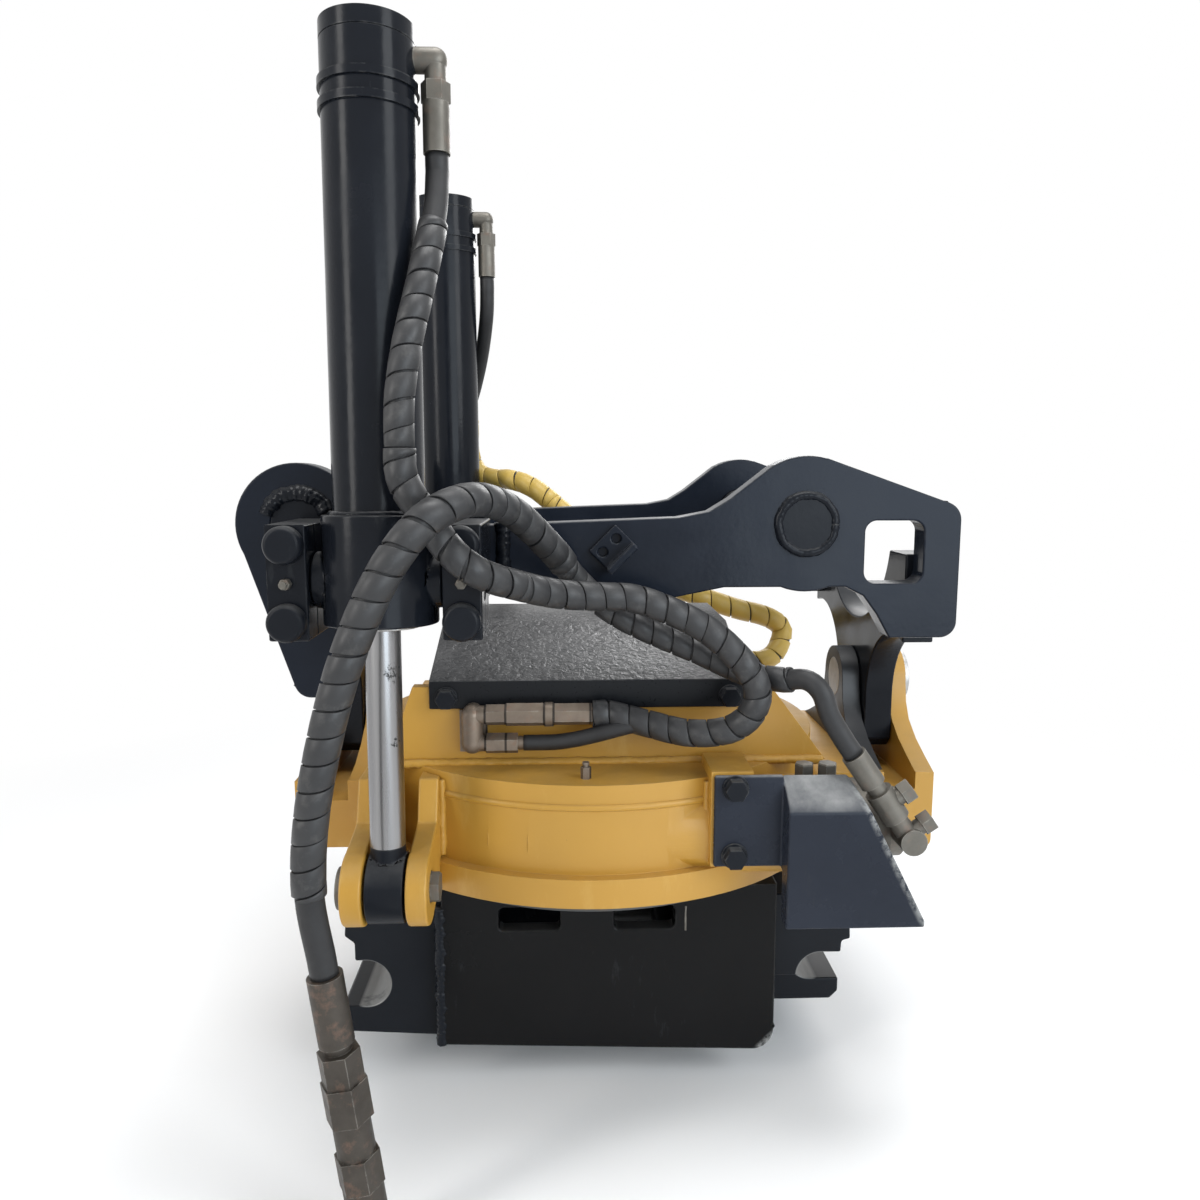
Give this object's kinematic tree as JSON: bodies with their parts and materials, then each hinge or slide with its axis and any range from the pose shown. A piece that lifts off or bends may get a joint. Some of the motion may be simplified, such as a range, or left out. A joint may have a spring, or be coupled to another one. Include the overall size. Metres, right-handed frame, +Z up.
{
  "type": "excavator tilt rotator",
  "caption": "Tilting, endlessly turning tool holder for an excavator: pin-on upper frame, trunnion tilt cylinders, worm-driven gear case and a hooked hitch with a lock wedge.",
  "frame": {"origin": "midway between the two machine pins, on the middle plane", "axes": "+X along the frame from the front pin to the rear pin, +Y to the far side, +Z up"},
  "size_m": [0.631, 0.6547, 0.8911],
  "materials": {
    "black_paint": "gloss paint",
    "yellow_paint": "satin paint",
    "steel": "machined",
    "bronze": "machined",
    "zinc": "plated, worn",
    "black_hose": "matt, spiral guard",
    "yellow_hose": "matt, spiral guard"
  },
  "bodies": {
    "upper": {"near_side_plate": "black_paint", "far_side_plate": "black_paint", "front_pin": "steel", "rear_pin": "steel", "front_leg": "black_paint", "rear_leg": "black_paint", "tilt_bushes": "bronze", "trunnion_blocks": "black_paint", "trunnion_caps": "black_paint", "trunnion_bolts": "black_paint", "grease_nipples": "zinc", "hose_bracket": "black_paint", "near_feed_hose": "black_hose", "motor_hose": "black_hose", "far_feed_hose": "yellow_hose", "supply_hose": "black_hose", "hose_end": "zinc"},
    "near_barrel": {"near_collar": "black_paint", "near_tube": "black_paint", "near_gland": "steel", "near_end_cap": "black_paint", "near_port": "zinc", "near_tilt_hose": "black_hose"},
    "far_barrel": {"far_collar": "black_paint", "far_tube": "black_paint", "far_gland": "steel", "far_end_cap": "black_paint", "far_port": "zinc", "far_tilt_hose": "black_hose"},
    "near_rod_set": {"near_rod": "steel", "near_piston": "zinc", "near_rod_eye": "black_paint"},
    "far_rod_set": {"far_rod": "steel", "far_piston": "zinc", "far_rod_eye": "black_paint"},
    "case": {"gear_case": "yellow_paint", "near_lugs": "yellow_paint", "far_lugs": "yellow_paint", "rod_pins": "zinc", "tilt_pins": "steel", "bearing_ring": "bronze", "swivel_sleeve": "steel", "top_cover": "black_paint", "cover_bolts": "zinc", "motor": "zinc", "motor_guard": "black_paint", "guard_bolts": "zinc", "worm_bearings": "steel", "hose_fittings": "zinc", "motor_fittings": "zinc"},
    "worm_set": {"worm": "steel"},
    "rotor": {"worm_wheel": "bronze", "rotor_hub": "steel", "swivel_shaft": "steel", "hitch_frame": "black_paint", "front_hook": "black_paint", "rear_claw": "black_paint", "lock_cylinder": "black_paint"},
    "lock": {"lock_piston": "steel", "lock_wedge": "steel"}
  },
  "joints": [
    {"name": "tilt", "type": "hinge", "parent": "upper", "child": "case", "pos_m": [0, 0, -0.17], "axis": [1, 0, 0], "range_deg": [-40, 40], "deforming": ["near_feed_hose", "motor_hose", "far_feed_hose"]},
    {"name": "near_swing", "type": "hinge", "parent": "upper", "child": "near_barrel", "pos_m": [-0.134, -0.236, -0.038], "axis": [1, 0, 0], "range_deg": [-20.5, 20.5], "deforming": ["near_tilt_hose"]},
    {"name": "far_swing", "type": "hinge", "parent": "upper", "child": "far_barrel", "pos_m": [-0.134, 0.236, -0.038], "axis": [1, 0, 0], "range_deg": [-20.5, 20.5], "deforming": ["far_tilt_hose"]},
    {"name": "near_rod_turn", "type": "hinge", "parent": "case", "child": "near_rod_set", "pos_m": [-0.134, -0.24426, -0.286], "axis": [1, 0, 0], "range_deg": [-20.5, 20.5]},
    {"name": "far_rod_turn", "type": "hinge", "parent": "case", "child": "far_rod_set", "pos_m": [-0.134, 0.24426, -0.286], "axis": [1, 0, 0], "range_deg": [-20.5, 20.5]},
    {"name": "rotate", "type": "hinge", "parent": "case", "child": "rotor", "pos_m": [0.035, 0, -0.262], "axis": [0, 0, 1], "continuous": true},
    {"name": "worm_turn", "type": "hinge", "parent": "case", "child": "worm_set", "pos_m": [0.035, -0.177, -0.262], "axis": [1, 0, 0], "continuous": true},
    {"name": "lock_slide", "type": "slide", "parent": "rotor", "child": "lock", "axis": [1, 0, 0], "range_m": [-0.06, 0]}
  ],
  "couplings": [
    {"joint": "near_swing", "follows": "tilt", "ratio": 0.5},
    {"joint": "far_swing", "follows": "tilt", "ratio": 0.5},
    {"joint": "near_rod_turn", "follows": "tilt", "ratio": -0.5},
    {"joint": "far_rod_turn", "follows": "tilt", "ratio": -0.5},
    {"joint": "worm_turn", "follows": "rotate", "ratio": -50}
  ]
}
